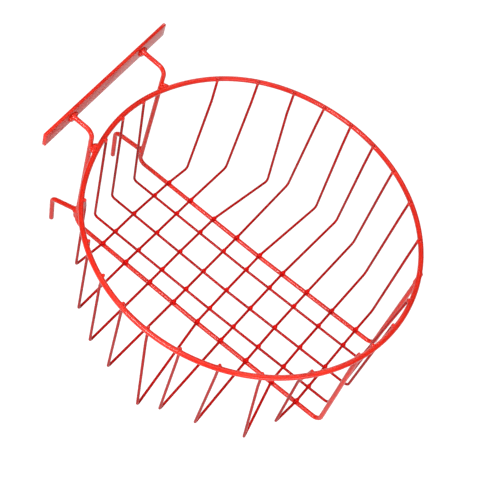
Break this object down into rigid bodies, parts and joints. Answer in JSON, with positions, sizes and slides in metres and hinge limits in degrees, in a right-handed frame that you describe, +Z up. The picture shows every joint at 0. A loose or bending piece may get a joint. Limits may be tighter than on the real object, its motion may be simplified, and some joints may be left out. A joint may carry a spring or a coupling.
{
  "type": "hanging wire basket",
  "caption": "Round open-top welded-wire basket that hangs by a flat steel strap on two bent arms, with lower pegs that bear on the carrying frame.",
  "frame": {"origin": "middle of the underside of the hanger strap, where the basket is held", "axes": "+Z up; +X from the strap across the basket, away from the frame that carries it, parallel to the heavy rails; +Y across the rails, within 4.4 degrees of the strap"},
  "size_m": [0.4213, 0.3819, 0.2132],
  "materials": {
    "powder_coat_red": "semi-gloss powder coat over steel bar",
    "painted_weld_red": "powder coat over a lumpy weld bead"
  },
  "bodies": {
    "root": {"rim_ring": "powder_coat_red", "frame_rail_pos_y": "powder_coat_red", "frame_rail_neg_y": "powder_coat_red", "long_wire_1": "powder_coat_red", "long_wire_2": "powder_coat_red", "long_wire_3": "powder_coat_red", "cross_wire_1": "powder_coat_red", "cross_wire_2": "powder_coat_red", "cross_wire_3": "powder_coat_red", "cross_wire_4": "powder_coat_red", "cross_wire_5": "powder_coat_red", "cross_wire_6": "powder_coat_red", "cross_wire_7": "powder_coat_red", "cross_wire_8": "powder_coat_red", "cross_wire_9": "powder_coat_red", "lower_strut_pos_y": "powder_coat_red", "lower_strut_neg_y": "powder_coat_red", "hanger_strap": "powder_coat_red", "weld_arm_strap_pos_y": "painted_weld_red", "weld_strut_riser_pos_y": "painted_weld_red", "weld_rail_far_rim_pos_y": "painted_weld_red", "weld_riser_rim_pos_y_out": "painted_weld_red", "weld_riser_rim_pos_y_in": "painted_weld_red", "weld_arm_strap_neg_y": "painted_weld_red", "weld_strut_riser_neg_y": "painted_weld_red", "weld_rail_far_rim_neg_y": "painted_weld_red", "weld_riser_rim_neg_y_out": "painted_weld_red", "weld_riser_rim_neg_y_in": "painted_weld_red", "weld_rim_seam": "painted_weld_red"}
  },
  "joints": []
}
